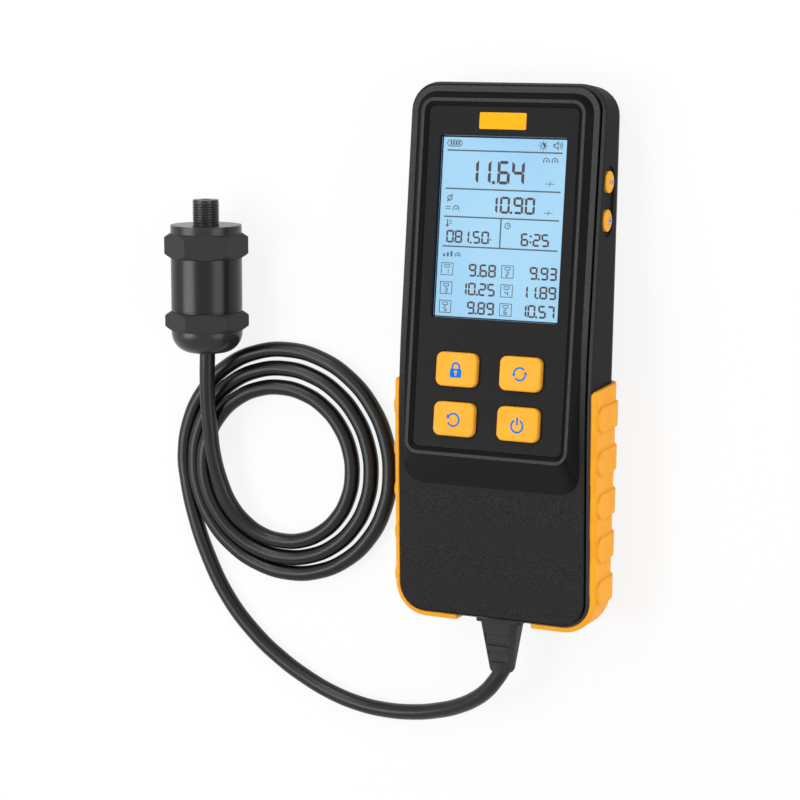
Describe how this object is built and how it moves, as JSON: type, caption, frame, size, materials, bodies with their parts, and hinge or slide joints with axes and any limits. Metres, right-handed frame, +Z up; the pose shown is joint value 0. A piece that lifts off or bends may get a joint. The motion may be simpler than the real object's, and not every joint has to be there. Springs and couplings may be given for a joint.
{
  "type": "digital compression tester gauge",
  "caption": "Hand-held digital compression gauge with sprung keys, orange grips and a coiled lead to a screw-in pressure sensor.",
  "frame": {"origin": "on the flat back of the gauge, near its middle", "axes": "+Z up out of the display, +Y towards the head, +X towards the side buttons"},
  "size_m": [0.1951, 0.2504, 0.0363],
  "materials": {
    "textured_black": "fine spark texture, matt",
    "smooth_black": "smooth satin moulding",
    "panel_black": "smooth dark film",
    "orange_rubber": "soft satin overmould",
    "orange_key": "silk silicone",
    "clear_window": "clear pane",
    "lcd_blue": "lit pale blue display",
    "white_diffuser": "white light guide",
    "circuit_board": "green solder mask",
    "bright_steel": "plated steel",
    "black_component": "moulded component",
    "cell_jacket": "plain printed sleeve",
    "black_rubber": "moulded rubber",
    "black_lead": "smooth lead jacket",
    "dark_metal": "dark satin plated metal"
  },
  "bodies": {
    "housing": {"front_shell": "textured_black", "rear_shell": "smooth_black", "face_panel": "panel_black", "left_grip": "orange_rubber", "right_grip": "orange_rubber", "display_window": "clear_window", "lcd_glass": "lcd_blue", "backlight": "white_diffuser", "main_board": "circuit_board", "board_screws": "bright_steel", "key_switches": "black_component", "side_board": "circuit_board", "side_switches": "black_component", "controller_chip": "black_component", "buzzer": "black_component", "battery_1": "cell_jacket", "battery_2": "cell_jacket", "battery_3": "cell_jacket", "battery_contacts": "bright_steel", "battery_door": "smooth_black", "door_screw": "bright_steel", "case_screws": "bright_steel", "strain_relief": "black_rubber", "cable_tail": "black_lead", "cable_coil": "black_lead", "cable_lead": "black_lead", "sensor_port": "dark_metal", "sensor_barrel": "dark_metal", "sensor_cap": "dark_metal", "pressure_cell": "bright_steel", "cell_seal": "black_rubber", "sensor_board": "circuit_board", "cable_grommet": "black_rubber"},
    "lock_key": {"lock_key": "orange_key"},
    "cycle_key": {"cycle_key": "orange_key"},
    "undo_key": {"undo_key": "orange_key"},
    "power_key": {"power_key": "orange_key"},
    "mode_button": {"mode_button": "orange_key"},
    "light_button": {"light_button": "orange_key"}
  },
  "joints": [
    {"name": "lock_press", "type": "slide", "parent": "housing", "child": "lock_key", "axis": [0, -0.1132, -0.9936], "range_m": [0, 0.001], "stiffness_N_per_m": 800},
    {"name": "cycle_press", "type": "slide", "parent": "housing", "child": "cycle_key", "axis": [0, -0.1132, -0.9936], "range_m": [0, 0.001], "stiffness_N_per_m": 800},
    {"name": "undo_press", "type": "slide", "parent": "housing", "child": "undo_key", "axis": [0, -0.1132, -0.9936], "range_m": [0, 0.001], "stiffness_N_per_m": 800},
    {"name": "power_press", "type": "slide", "parent": "housing", "child": "power_key", "axis": [0, -0.1132, -0.9936], "range_m": [0, 0.001], "stiffness_N_per_m": 800},
    {"name": "mode_press", "type": "slide", "parent": "housing", "child": "mode_button", "axis": [-1, 0, 0], "range_m": [0, 0.0008], "stiffness_N_per_m": 800},
    {"name": "light_press", "type": "slide", "parent": "housing", "child": "light_button", "axis": [-1, 0, 0], "range_m": [0, 0.0008], "stiffness_N_per_m": 800}
  ]
}
